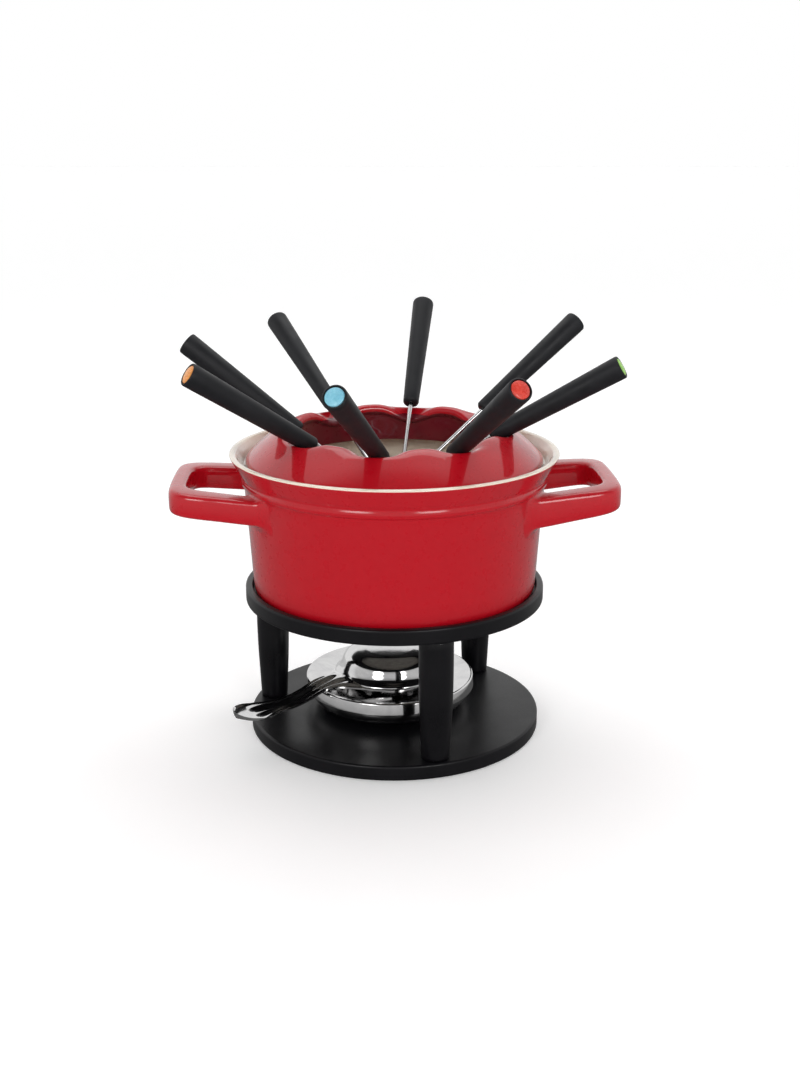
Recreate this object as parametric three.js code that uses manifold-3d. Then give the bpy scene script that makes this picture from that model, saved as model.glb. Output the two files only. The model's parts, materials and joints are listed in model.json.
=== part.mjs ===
// Fondue set: a two-plate stand on three columns, a glazed ceramic pot with two loop
// handles, a scalloped fork ring, eight forks and a sheet-steel fuel burner with its lid.
// Millimetres, +Z up. The origin is on the middle of the stand's underside, -Y is the front.
// Azimuths are measured from the front (-Y) towards +X.

import * as THREE from 'three';
import { mergeVertices } from 'three/addons/utils/BufferGeometryUtils.js';
import Module from 'manifold-3d';

const wasm = await Module();
wasm.setup();

// ---------------------------------------------------------------- driving dimensions
const GAP = 0.3;                    // clearance left between pieces that touch
const ROUND = 48;                   // sides on the large turned pieces
const ROUND_SMALL = 12;             // sides on the slim turned pieces

const BASE_RADIUS = 85;
const BASE_TOP = 9.2;               // height of the lower plate's top face
const PAD_RADIUS = 76;
const PAD_THICKNESS = 2;
const PLATE_LIFT = 0.8;             // the pad stands this far proud of the lower plate

const UPPER_RADIUS = 86.3;
const UPPER_BOTTOM = 79.3;
const UPPER_TOP = 88.2;
const RECESS_FLOOR = 83.7;
const RECESS_RADIUS = 82.3;
const FLAME_HOLE_RADIUS = 46;

const COLUMN_RADIUS = 9.5;
const COLUMN_FOOT_RADIUS = 7.9;
const COLUMN_CIRCLE = 75;           // radius of the circle the columns stand on
const COLUMN_AZIMUTHS = { front: 17.6, left: -102.4, back: 137.6 };

const SCREW_RADIUS = 2;
const SCREW_HEAD_RADIUS = 4;
const SCREW_LENGTH = 26;

const POT_TURN = 2.5;               // the pot stands turned by this many degrees
const POT_BOTTOM = RECESS_FLOOR + GAP;
const POT_RIM = 165.5;
const RIM_RADIUS = 93.2;
const WALL_CORE_RADIUS = 82.4;      // a circle that lies inside the pot's wall

const HANDLE_REACH = 126;           // from the axis to the outer face of a pot handle
const HANDLE_ROOT = 68;             // the arms start inside the wall and are cut to it
const HANDLE_ROOT_HALF = 47;
const HANDLE_END_HALF = 39;
const HANDLE_BAR = 9.5;
const HANDLE_ARM = 14;
const HANDLE_EDGE = 3;              // rounding of the handle's edges

const RING_CREST_RADIUS = 59.5;
const RING_CREST = 179.4;
const RING_EDGE_RADIUS = 84.2;
const NOTCH_COUNT = 8;
const NOTCH_DEPTH = 7;
const NOTCH_REACH = 10;             // how far a notch runs out over the ring from its crest
const FIRST_NOTCH = -9;             // azimuth of the first notch
const REST_RADIUS = 61;             // where a fork's axis crosses the notches' circle
const REST_HEIGHT = 178.8;

const GRIP_LENGTH = 82;
const GRIP_END_RADIUS = 4.75;
const GRIP_CAP_RADIUS = 6.5;
const STEM_RADIUS = 1.25;
const STEM_BELOW_GRIP = 134;
const STEM_IN_GRIP = 30;
const PRONG_LENGTH = 24;
const PRONG_SPREAD = 6.8;           // overall width of the two prongs
const PRONG_WIDTH = 1.7;
const PRONG_THICKNESS = 1.4;

const BURNER_CENTRE = new THREE.Vector3(-3, 7.5, BASE_TOP + GAP);
const BURNER_RADIUS = 50.3;
const BURNER_BAND_BOTTOM = 10.4;    // heights below are above the burner's own underside
const BURNER_TOP = 17.5;
const NECK_RADIUS = 24.4;
const LID_RIM = 19.4;
const LID_TOP = 33.5;
const LID_RIM_RADIUS = 32.6;
const LID_HANDLE_AZIMUTH = -55;
const LID_HANDLE_REACH = 107;
const LID_HANDLE_HALF = 7.6;        // half the width of the handle's strip
const LID_TAB_RADIUS = 12;
const SHEET = 1;                    // thickness of the burner's steel sheet

// Each fork lies in its own notch. lean: how far its grip swings aside from the notch's own
// azimuth, rise: its slope above horizontal, slip: how far the grip's lower end is outside the
// notch along the fork (negative is inside), twist: the turn of its prongs about its own axis,
// all in degrees or millimetres.
const FORKS = [
  { colour: 'sky', cap: 0x55bfe6, lean: -9.8, rise: 34.0, slip: -12.2, twist: -15 },
  { colour: 'coral', cap: 0xf0504a, lean: -9.4, rise: 34.5, slip: -11.5, twist: 30 },
  { colour: 'lime', cap: 0x8fd14a, lean: -4.7, rise: 30.6, slip: -7.1, twist: 15 },
  { colour: 'blue', cap: 0x5aa9e0, lean: -6.6, rise: 35.8, slip: 3.2, twist: 15 },
  { colour: 'yellow', cap: 0xf2d24b, lean: 1.2, rise: 40.7, slip: 1.1, twist: -30 },
  { colour: 'pink', cap: 0xee8fb4, lean: -3.6, rise: 31.7, slip: 3.7, twist: 15 },
  { colour: 'purple', cap: 0x8b5bb5, lean: -3.0, rise: 36.3, slip: -7.8, twist: 0 },
  { colour: 'orange', cap: 0xf2a255, lean: -11.6, rise: 33.1, slip: -7.9, twist: 15 },
];

// ---------------------------------------------------------------- materials
function material(color, roughness, metalness) {
  return new THREE.MeshStandardMaterial({ color, roughness, metalness });
}

const satinBlack = material(0x17161a, 0.35, 0.1);
const redGlaze = material(0xcb2732, 0.12, 0);
const blackPlastic = material(0x2b2b2f, 0.55, 0);
const steel = material(0xc4c6c8, 0.2, 1);
const zincSteel = material(0x9a9da0, 0.4, 1);
const darkFelt = material(0x202022, 0.95, 0);
const wadding = material(0xd8d3c8, 0.95, 0);

// ---------------------------------------------------------------- geometry helpers
// Position only, with shared vertices merged and the collapsed triangles at the poles dropped.
function bare(geometry) {
  const copy = geometry.clone();
  copy.deleteAttribute('normal');
  copy.deleteAttribute('uv');
  const merged = mergeVertices(copy);
  const corners = Array.from(merged.getIndex().array);
  const kept = [];
  for (let start = 0; start < corners.length; start += 3) {
    const [a, b, c] = corners.slice(start, start + 3);
    if (a !== b && b !== c && c !== a) kept.push(a, b, c);
  }
  merged.setIndex(kept);
  return merged;
}

function toSolid(geometry) {
  const clean = bare(geometry);
  const vertProperties = new Float32Array(clean.getAttribute('position').array);
  const triVerts = new Uint32Array(clean.getIndex().array);
  return new wasm.Manifold(new wasm.Mesh({ numProp: 3, vertProperties, triVerts }));
}

function toGeometry(solid) {
  const data = solid.getMesh();
  const geometry = new THREE.BufferGeometry();
  geometry.setAttribute('position', new THREE.BufferAttribute(data.vertProperties, 3));
  geometry.setIndex(new THREE.BufferAttribute(data.triVerts, 1));
  return geometry;
}

function cut(geometry, ...tools) {
  const result = tools.reduce((solid, tool) => solid.subtract(toSolid(tool)), toSolid(geometry));
  return toGeometry(result);
}

function join(geometry, ...others) {
  const result = others.reduce((solid, other) => solid.add(toSolid(other)), toSolid(geometry));
  return toGeometry(result);
}

// A profile is a list of [radius, height] pairs, turned about Z.
function turned(profile, sides = ROUND) {
  const points = profile.map(([radius, height]) => new THREE.Vector2(radius, height));
  return new THREE.LatheGeometry(points, sides).rotateX(Math.PI / 2);
}

function closedRing(profile, sides = ROUND) {
  return turned([...profile, profile[0]], sides);
}

function disc(radius, bottom, top, sides = ROUND) {
  return turned([[0, bottom], [radius, bottom], [radius, top], [0, top]], sides);
}

function arc(cx, cy, radius, startDegrees, endDegrees, steps) {
  return Array.from({ length: steps + 1 }, (_, step) => {
    const angle = THREE.MathUtils.degToRad(startDegrees + ((endDegrees - startDegrees) * step) / steps);
    return [cx + radius * Math.cos(angle), cy + radius * Math.sin(angle)];
  });
}

function atAzimuth(radius, azimuth, height = 0) {
  const angle = THREE.MathUtils.degToRad(azimuth);
  return new THREE.Vector3(radius * Math.sin(angle), -radius * Math.cos(angle), height);
}

function moved(geometry, place) {
  return geometry.clone().translate(place.x, place.y, place.z);
}

function reshape(geometry, change) {
  const position = geometry.getAttribute('position');
  const point = new THREE.Vector3();
  for (let index = 0; index < position.count; index += 1) {
    point.fromBufferAttribute(position, index);
    change(point);
    position.setXYZ(index, point.x, point.y, point.z);
  }
  return geometry;
}

function addPiece(group, name, geometry, finish) {
  const mesh = new THREE.Mesh(bare(geometry), finish);
  mesh.name = name;
  group.add(mesh);
  return mesh;
}

// ---------------------------------------------------------------- stand
// A countersunk wood screw with its head at height 0 and its shank along +Z.
function screwShape(grow) {
  return turned([
    [0, -grow],
    [SCREW_HEAD_RADIUS + grow, -grow],
    [SCREW_RADIUS + grow, SCREW_HEAD_RADIUS - SCREW_RADIUS],
    [SCREW_RADIUS + grow, SCREW_LENGTH - 3],
    [0, SCREW_LENGTH + grow],
  ], ROUND_SMALL);
}

function screwPlaces() {
  return Object.entries(COLUMN_AZIMUTHS).map(([side, azimuth]) => ({
    side,
    low: atAzimuth(COLUMN_CIRCLE, azimuth, PAD_THICKNESS + 2 * GAP),
    high: atAzimuth(COLUMN_CIRCLE, azimuth, RECESS_FLOOR - GAP),
  }));
}

function screwTools(grow) {
  return screwPlaces().flatMap(({ low, high }) => [
    moved(screwShape(grow), low),
    moved(screwShape(grow).rotateX(Math.PI), high),
  ]);
}

function columnShape() {
  const bottom = BASE_TOP + GAP;
  const top = UPPER_BOTTOM - GAP;
  const span = top - bottom;
  return turned([
    [0, bottom],
    [COLUMN_FOOT_RADIUS, bottom],
    [COLUMN_RADIUS - 0.9, bottom + span * 0.22],
    [COLUMN_RADIUS - 0.25, bottom + span * 0.42],
    [COLUMN_RADIUS, bottom + span * 0.62],
    [COLUMN_RADIUS, top],
    [0, top],
  ], 24);
}

function buildStand() {
  const group = new THREE.Group();
  const screwHoles = screwTools(GAP);

  addPiece(group, 'base_pad', disc(PAD_RADIUS, 0, PAD_THICKNESS), darkFelt);

  const lowerPlate = turned([
    [0, PAD_THICKNESS + GAP],
    [PAD_RADIUS + GAP, PAD_THICKNESS + GAP],
    [PAD_RADIUS + GAP, PLATE_LIFT],
    [BASE_RADIUS - 0.8, PLATE_LIFT],
    [BASE_RADIUS, PLATE_LIFT + 0.8],
    [BASE_RADIUS, BASE_TOP - 1.4],
    [BASE_RADIUS - 1.5, BASE_TOP],
    [0, BASE_TOP],
  ]);
  addPiece(group, 'base_plate', cut(lowerPlate, ...screwHoles), satinBlack);

  const upperPlate = closedRing([
    [FLAME_HOLE_RADIUS, UPPER_BOTTOM],
    [UPPER_RADIUS - 0.8, UPPER_BOTTOM],
    [UPPER_RADIUS, UPPER_BOTTOM + 0.8],
    [UPPER_RADIUS, UPPER_TOP - 1.6],
    [UPPER_RADIUS - 1.6, UPPER_TOP],
    [RECESS_RADIUS + 0.8, UPPER_TOP],
    [RECESS_RADIUS, UPPER_TOP - 0.8],
    [RECESS_RADIUS, RECESS_FLOOR],
    [FLAME_HOLE_RADIUS, RECESS_FLOOR],
  ]);
  addPiece(group, 'upper_plate', cut(upperPlate, ...screwHoles), satinBlack);

  screwPlaces().forEach(({ side, low, high }) => {
    const azimuth = COLUMN_AZIMUTHS[side];
    const column = moved(columnShape(), atAzimuth(COLUMN_CIRCLE, azimuth));
    addPiece(group, `column_${side}`, cut(column, ...screwHoles), satinBlack);
    addPiece(group, `screw_base_${side}`, screwShape(0), zincSteel).position.copy(low);
    const upperScrew = addPiece(group, `screw_top_${side}`, screwShape(0), zincSteel);
    upperScrew.position.copy(high);
    upperScrew.rotation.x = Math.PI;
  });
  return group;
}

// ---------------------------------------------------------------- pot
function potShell() {
  return turned([
    [0, POT_BOTTOM + 1.4],
    [67, POT_BOTTOM + 1.4],
    [69, POT_BOTTOM],
    [79, POT_BOTTOM],
    [81, POT_BOTTOM + 1.6],
    [81.5, 90],
    [83.3, 118],
    [85.4, 148],
    [87, 149.4],
    [87, 151.6],
    [86.6, 153],
    [88.2, 155.4],
    [RIM_RADIUS - 1, 163],
    [RIM_RADIUS, POT_RIM - 1],
    [RIM_RADIUS - 1.2, POT_RIM + 0.4],
    [RIM_RADIUS - 3.4, POT_RIM],
    [89.2, 162.6],
    [87.2, 158.6],
    [82, 157.6],
    [80.8, 148],
    [79, 118],
    [77.2, 97],
    [73, 91.6],
    [66, 90],
    [0, 90],
  ]);
}

// One loop handle on the +X side: a U-shaped outline whose open end meets the wall, thinner
// and higher towards its outer end.
function potHandle() {
  const innerReach = HANDLE_REACH - HANDLE_BAR;
  const innerEnd = HANDLE_END_HALF - HANDLE_ARM;
  const innerRoot = HANDLE_ROOT_HALF - HANDLE_ARM;
  const outline = new THREE.Shape();
  outline.moveTo(HANDLE_ROOT, -HANDLE_ROOT_HALF);
  outline.lineTo(HANDLE_REACH - 12, -HANDLE_END_HALF - 2);
  outline.quadraticCurveTo(HANDLE_REACH, -HANDLE_END_HALF, HANDLE_REACH, -HANDLE_END_HALF + 10);
  outline.lineTo(HANDLE_REACH, HANDLE_END_HALF - 10);
  outline.quadraticCurveTo(HANDLE_REACH, HANDLE_END_HALF, HANDLE_REACH - 12, HANDLE_END_HALF + 2);
  outline.lineTo(HANDLE_ROOT, HANDLE_ROOT_HALF);
  outline.lineTo(HANDLE_ROOT, innerRoot);
  outline.lineTo(innerReach - 4, innerEnd + 1.4);
  outline.lineTo(innerReach, innerEnd - 3);
  outline.lineTo(innerReach, -innerEnd + 3);
  outline.lineTo(innerReach - 4, -innerEnd - 1.4);
  outline.lineTo(HANDLE_ROOT, -innerRoot);
  outline.closePath();

  const geometry = new THREE.ExtrudeGeometry(outline, {
    depth: 1,
    curveSegments: 4,
    bevelThickness: HANDLE_EDGE,
    bevelSize: HANDLE_EDGE,
    bevelOffset: -HANDLE_EDGE,
    bevelSegments: 2,
  });

  const fullDepth = 1 + 2 * HANDLE_EDGE;
  return reshape(geometry, (point) => {
    const outward = (point.x - HANDLE_ROOT) / (HANDLE_REACH - HANDLE_ROOT);
    const bottom = 128.4 + 9.6 * outward;
    const top = 146.6 + 4.9 * outward;
    const share = (point.z + HANDLE_EDGE) / fullDepth;
    point.z = bottom + share * (top - bottom);
  });
}

function buildPot() {
  const group = new THREE.Group();
  group.rotation.z = THREE.MathUtils.degToRad(POT_TURN);
  const core = disc(WALL_CORE_RADIUS, 120, 156);
  const right = cut(potHandle(), core);
  const left = cut(potHandle().rotateZ(Math.PI), core);
  addPiece(group, 'pot_body', join(potShell(), right, left), redGlaze);
  return group;
}

// ---------------------------------------------------------------- fork ring
// 1 on the middle of a notch, 0 on the middle of a bump.
function notchShare(azimuth) {
  const phase = THREE.MathUtils.degToRad((azimuth - FIRST_NOTCH) * NOTCH_COUNT);
  return (0.5 + 0.5 * Math.cos(phase)) ** 1.5;
}

function ringShape() {
  const geometry = closedRing([
    [61.6, 157.4],
    [63.8, 157.4],
    [64.4, 168],
    [67.5, 171],
    [74.5, 167],
    [80, 161.8],
    [83, 159.4],
    [RING_EDGE_RADIUS, 160.2],
    [RING_EDGE_RADIUS - 0.2, 162.2],
    [80.8, 165.6],
    [75, 170.6],
    [69.4, 175],
    [64.5, 178.4],
    [RING_CREST_RADIUS + 1.6, RING_CREST],
    [RING_CREST_RADIUS, RING_CREST - 1.6],
    [RING_CREST_RADIUS + 0.6, RING_CREST - 6],
    [60.8, 169],
  ], 64);
  const foot = 157.4;
  return reshape(geometry, (point) => {
    const radius = Math.hypot(point.x, point.y);
    const azimuth = THREE.MathUtils.radToDeg(Math.atan2(point.x, -point.y));
    const outside = radius - RING_CREST_RADIUS;
    const nearCrest = 1 - THREE.MathUtils.smoothstep(outside, 1, NOTCH_REACH);
    const lifted = THREE.MathUtils.smoothstep(point.z - foot, 4, 22);
    point.z -= NOTCH_DEPTH * notchShare(azimuth) * nearCrest * lifted;
  });
}

function buildRing() {
  const group = new THREE.Group();
  addPiece(group, 'fork_ring', ringShape(), redGlaze);
  return group;
}

// ---------------------------------------------------------------- forks
// A fork is built along its own Z: the grip runs up from 0, the stem and prongs hang below.
function gripShape() {
  return turned([
    [0, STEM_IN_GRIP],
    [STEM_RADIUS + GAP, STEM_IN_GRIP],
    [STEM_RADIUS + GAP, 0],
    [GRIP_END_RADIUS - 1.6, 0],
    [GRIP_END_RADIUS, 1.8],
    [GRIP_CAP_RADIUS, GRIP_LENGTH - 3],
    [GRIP_CAP_RADIUS - 0.6, GRIP_LENGTH],
    [GRIP_CAP_RADIUS - 1.1, GRIP_LENGTH],
    [GRIP_CAP_RADIUS - 1.1, GRIP_LENGTH - 3],
    [0, GRIP_LENGTH - 3],
  ], ROUND_SMALL);
}

function capShape() {
  const radius = GRIP_CAP_RADIUS - 1.1 - GAP;
  const bottom = GRIP_LENGTH - 3 + GAP;
  return turned([
    [0, bottom],
    [radius, bottom],
    [radius, GRIP_LENGTH - 0.2],
    [radius * 0.7, GRIP_LENGTH + 0.3],
    [0, GRIP_LENGTH + 0.5],
  ], ROUND_SMALL);
}

function prongShape() {
  const half = PRONG_SPREAD / 2;
  const neck = -STEM_BELOW_GRIP + PRONG_LENGTH;
  const root = neck - 6;
  const tip = -STEM_BELOW_GRIP;
  const outline = new THREE.Shape();
  outline.moveTo(-1, neck + 2);
  outline.lineTo(-half, root);
  outline.lineTo(-half, tip);
  outline.lineTo(-half + PRONG_WIDTH, tip + 5);
  outline.lineTo(-half + PRONG_WIDTH, root - 1.5);
  outline.lineTo(half - PRONG_WIDTH, root - 1.5);
  outline.lineTo(half - PRONG_WIDTH, tip + 5);
  outline.lineTo(half, tip);
  outline.lineTo(half, root);
  outline.lineTo(1, neck + 2);
  outline.closePath();
  const plate = new THREE.ExtrudeGeometry(outline, { depth: PRONG_THICKNESS, bevelEnabled: false });
  return plate.translate(0, 0, -PRONG_THICKNESS / 2).rotateX(Math.PI / 2);
}

function stemShape() {
  const rod = turned([
    [0, -STEM_BELOW_GRIP + PRONG_LENGTH],
    [STEM_RADIUS, -STEM_BELOW_GRIP + PRONG_LENGTH],
    [STEM_RADIUS, STEM_IN_GRIP - GAP],
    [0, STEM_IN_GRIP - GAP],
  ], 8);
  return join(rod, prongShape());
}

function buildFork(fork, index) {
  const notch = FIRST_NOTCH + (360 / NOTCH_COUNT) * index;
  const rise = THREE.MathUtils.degToRad(fork.rise);
  const axis = atAzimuth(Math.cos(rise), notch + fork.lean, Math.sin(rise));
  const side = new THREE.Vector3(0, 0, 1).cross(axis).normalize();
  const top = new THREE.Vector3().crossVectors(axis, side);

  const group = new THREE.Group();
  group.quaternion.setFromRotationMatrix(new THREE.Matrix4().makeBasis(side, top, axis));
  group.position.copy(atAzimuth(REST_RADIUS, notch, REST_HEIGHT)).addScaledVector(axis, fork.slip);
  addPiece(group, `fork_${fork.colour}_grip`, gripShape(), blackPlastic);
  const tines = addPiece(group, `fork_${fork.colour}_tines`, stemShape(), steel);
  tines.rotation.z = THREE.MathUtils.degToRad(fork.twist);
  addPiece(group, `fork_${fork.colour}_cap`, capShape(), material(fork.cap, 0.25, 0));
  return group;
}

// ---------------------------------------------------------------- burner
function bowlShape() {
  return turned([
    [0, 0.8],
    [33, 0.8],
    [34.5, 0],
    [38, 0],
    [44.5, 3],
    [47.2, 7],
    [47.5, 10],
    [47.5, 15.6],
    [47.5 - SHEET, 15.6],
    [47.5 - SHEET, 10],
    [46.2, 7.4],
    [43.8, 4],
    [37.6, SHEET],
    [34.8, SHEET],
    [33.4, SHEET + 0.8],
    [0, SHEET + 0.8],
  ]);
}

function coverShape() {
  const inner = BURNER_RADIUS - SHEET;
  return closedRing([
    [20.2, 15.4 - SHEET],
    [30, 15.6 - SHEET],
    [46.6, BURNER_TOP - SHEET - 0.4],
    [inner, BURNER_TOP - SHEET - 0.8],
    [inner, BURNER_BAND_BOTTOM],
    [BURNER_RADIUS, BURNER_BAND_BOTTOM],
    [BURNER_RADIUS, BURNER_TOP - 1],
    [BURNER_RADIUS - 1.2, BURNER_TOP],
    [46.6, BURNER_TOP - 0.4],
    [30, 15.6],
    [20.2, 15.4],
  ]);
}

function cupShape() {
  const seat = 15.4 + GAP;
  return turned([
    [0, 2.1],
    [19, 2.1],
    [19.7, 3],
    [19.7, seat],
    [22.4, seat],
    [22.4, seat + 0.7],
    [18.9, seat + 0.7],
    [18.9, 3],
    [0, 3],
  ], 32);
}

// A loose collar on the cup's flange. Its air windows are opened or closed by turning it.
function airSleeveShape() {
  const bottom = 15.7;
  const ring = closedRing([
    [NECK_RADIUS - SHEET, bottom],
    [NECK_RADIUS, bottom],
    [NECK_RADIUS, bottom + 5.6],
    [NECK_RADIUS - SHEET, bottom + 5.6],
  ], 32);
  const windows = [30, 90, 150, 210, 270, 330].map((azimuth) => {
    const slot = new THREE.BoxGeometry(6, 4, 2.6);
    slot.translate(0, -NECK_RADIUS + SHEET / 2, bottom + 2.8);
    return slot.rotateZ(THREE.MathUtils.degToRad(azimuth));
  });
  return cut(ring, ...windows);
}

// The lid's cap: a drawn steel bell with a flat top, a round shoulder and a flared rim.
function lidDome() {
  const rim = LID_RIM;
  const top = LID_TOP;
  const inner = LID_RIM_RADIUS - 1.4 * SHEET;
  return turned([
    [0, top - SHEET],
    [14.8, top - SHEET],
    [19.7, rim + 12.4],
    [23.6, rim + 10.9],
    [25.9, rim + 9],
    [26.9, rim + 7.3],
    [27.7, rim + 5.2],
    [28.9, rim + 2.8],
    [30.4, rim + 1.2],
    [inner, rim],
    [LID_RIM_RADIUS, rim],
    [LID_RIM_RADIUS, rim + 0.8],
    [31.4, rim + 1.8],
    [29.9, rim + 3.2],
    [28.7, rim + 5.4],
    [27.9, rim + 7.6],
    [26.8, rim + 9.5],
    [24.4, rim + 11.6],
    [20.2, rim + 13.3],
    [15, top],
    [0, top],
  ], 32);
}

// The lid's handle leaves the rim as wide as its tangents, narrows to a strip that runs out
// over the burner and ends in a round thumb tab past the edge of the lower plate.
function lidHandle() {
  const root = 17;
  const rail = [[root, 20.4], [48, 20.2], [53, 19.2], [59, 17], [69, 14.8], [82, 14.4], [95, 15],
    [LID_HANDLE_REACH, 16]];
  const side = new THREE.Shape();
  side.moveTo(rail[0][0], rail[0][1] - SHEET);
  rail.slice(1).forEach(([reach, height]) => side.lineTo(reach, height - SHEET));
  rail.toReversed().forEach(([reach, height]) => side.lineTo(reach, height + 0.4));
  side.closePath();
  const strip = new THREE.ExtrudeGeometry(side, { depth: 52, bevelEnabled: false });
  strip.translate(0, 0, -26).rotateX(Math.PI / 2);

  const plan = new THREE.Shape();
  const tabEnd = arc(LID_HANDLE_REACH - LID_TAB_RADIUS, 0, LID_TAB_RADIUS, -100, 100, 12);
  const edge = [[root + 1, 25.6], [27, 19.4], [33, 14.4], [40, 10.4], [48, LID_HANDLE_HALF + 0.6],
    [58, LID_HANDLE_HALF], [76, LID_HANDLE_HALF], [85, LID_HANDLE_HALF + 1.4]];
  plan.moveTo(edge[0][0], -edge[0][1]);
  edge.slice(1).forEach(([along, half]) => plan.lineTo(along, -half));
  tabEnd.forEach(([along, across]) => plan.lineTo(along, across));
  edge.toReversed().forEach(([along, half]) => plan.lineTo(along, half));
  plan.closePath();
  const outline = new THREE.ExtrudeGeometry(plan, { depth: 60, bevelEnabled: false });
  outline.translate(0, 0, -20);

  const handle = toGeometry(toSolid(strip).intersect(toSolid(outline)));
  return handle.rotateZ(THREE.MathUtils.degToRad(LID_HANDLE_AZIMUTH - 90));
}

function buildBurner() {
  const group = new THREE.Group();
  group.position.copy(BURNER_CENTRE);
  addPiece(group, 'burner_bowl', bowlShape(), steel);
  addPiece(group, 'burner_cover', coverShape(), steel);
  addPiece(group, 'fuel_cup', cupShape(), steel);
  addPiece(group, 'fuel_wadding', disc(18.4, 3.3, 12.6, 32), wadding);
  addPiece(group, 'wadding_gauze', disc(18.5, 12.9, 13.5, 32), zincSteel);
  addPiece(group, 'air_sleeve', airSleeveShape(), steel);

  const inside = disc(LID_RIM_RADIUS - 2 * SHEET, LID_RIM - 1, LID_RIM + 2.6, 32);
  addPiece(group, 'snuffer_lid', join(lidDome(), cut(lidHandle(), inside)), steel);
  return group;
}

// ---------------------------------------------------------------- the whole set
const set = new THREE.Group();
set.add(buildStand());
set.add(buildPot());
set.add(buildRing());
FORKS.forEach((fork, index) => set.add(buildFork(fork, index)));
set.add(buildBurner());

export default set;
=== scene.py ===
"""Looks of the fondue set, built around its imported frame.

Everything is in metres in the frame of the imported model: +Z up, -Y the front, the origin under
the middle of the stand. Sizes of details are given in millimetres and scaled by MM.
"""

import json
import math

import bmesh
import bpy
from mathutils import Matrix, Vector


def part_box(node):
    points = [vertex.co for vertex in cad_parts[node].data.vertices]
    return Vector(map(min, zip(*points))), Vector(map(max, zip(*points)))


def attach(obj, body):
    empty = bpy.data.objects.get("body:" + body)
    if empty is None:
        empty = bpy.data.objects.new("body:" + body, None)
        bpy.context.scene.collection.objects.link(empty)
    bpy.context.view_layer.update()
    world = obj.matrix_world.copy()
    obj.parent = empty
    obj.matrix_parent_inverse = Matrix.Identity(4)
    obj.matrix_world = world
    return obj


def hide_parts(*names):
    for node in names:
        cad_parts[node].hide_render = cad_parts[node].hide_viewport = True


MM = 0.001
SIDES = 256  # sides of the large turned pieces
SIDES_SMALL = 96  # sides of the columns
SIDES_POT = 320  # sides of the pot and its lining
SIDES_RING = 512  # sides of the scalloped ring
SIDES_BURNER = 192  # sides of the burner's sheet pieces

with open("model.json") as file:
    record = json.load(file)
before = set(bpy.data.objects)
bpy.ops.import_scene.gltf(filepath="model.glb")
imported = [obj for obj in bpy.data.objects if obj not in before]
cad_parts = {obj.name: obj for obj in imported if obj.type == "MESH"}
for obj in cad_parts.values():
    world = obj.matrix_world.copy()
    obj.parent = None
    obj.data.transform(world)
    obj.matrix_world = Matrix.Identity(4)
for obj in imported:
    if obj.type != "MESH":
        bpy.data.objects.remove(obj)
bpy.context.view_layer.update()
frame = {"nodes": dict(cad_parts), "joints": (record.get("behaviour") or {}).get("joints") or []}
NODES = frame["nodes"]
JOINTS = {joint["name"]: joint for joint in frame["joints"]}


# ---- mesh helpers
def smoothstep(value, low, high):
    share = min(1.0, max(0.0, (value - low) / (high - low)))
    return share * share * (3 - 2 * share)


def mix(start, end, share):
    return start + (end - start) * share


def finish_mesh(name, work, crease=38, place=None):
    """Turns a bmesh in millimetres into an object in metres, smooth with sharp edges kept."""
    bmesh.ops.recalc_face_normals(work, faces=work.faces)
    bmesh.ops.scale(work, vec=(MM, MM, MM), verts=work.verts)
    mesh = bpy.data.meshes.new(name)
    work.to_mesh(mesh)
    work.free()
    mesh.shade_smooth()
    mesh.set_sharp_from_angle(angle=math.radians(crease))
    piece = bpy.data.objects.new(name, mesh)
    bpy.context.scene.collection.objects.link(piece)
    if place is not None:
        piece.matrix_world = place
    return piece


def rounded(corners, closed=False, steps=5):
    """A profile with its corners rounded. Each corner is (radius, height, fillet radius).

    A point is kept close to each end of a fillet so that shading stays flat beside it.
    """
    count = len(corners)
    points = []
    for index, (across, up, fillet) in enumerate(corners):
        here = Vector((across, up))
        ends = not closed and index in (0, count - 1)
        if ends or fillet <= 0:
            points.append((across, up))
            continue
        before = Vector(corners[index - 1][:2]) - here
        after = Vector(corners[(index + 1) % count][:2]) - here
        room = 0.45 * min(before.length, after.length)
        turn = before.angle(after)
        reach = min(room, fillet / math.tan(turn / 2))
        hold = min(0.35, 0.1 * min(before.length, after.length))
        start = here + before.normalized() * reach
        end = here + after.normalized() * reach
        points.append(tuple(start + before.normalized() * hold))
        for step in range(steps + 1):
            share = step / steps
            low = start.lerp(here, share)
            high = here.lerp(end, share)
            points.append(tuple(low.lerp(high, share)))
        points.append(tuple(end + after.normalized() * hold))
    return points


def flowing(points, per_span=4, closed=False):
    """A smooth curve through the points, by cubic spans whose slopes follow the chords."""
    count = len(points)
    vectors = [Vector(point) for point in points]
    spans = count if closed else count - 1
    result = []
    for span in range(spans):
        here = vectors[span]
        after = vectors[(span + 1) % count]
        before = vectors[span - 1] if closed or span > 0 else here * 2 - after
        if closed or span + 2 < count:
            beyond = vectors[(span + 2) % count]
        else:
            beyond = after * 2 - here
        length = (after - here).length
        slope_here = (after - before) * (length / max((after - before).length, 1e-9))
        slope_after = (beyond - here) * (length / max((beyond - here).length, 1e-9))
        for step in range(per_span):
            t = step / per_span
            result.append(
                here * (2 * t ** 3 - 3 * t ** 2 + 1)
                + slope_here * (t ** 3 - 2 * t ** 2 + t)
                + after * (3 * t ** 2 - 2 * t ** 3)
                + slope_after * (t ** 3 - t ** 2)
            )
    if not closed:
        result.append(vectors[-1])
    return [tuple(point) for point in result]


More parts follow.
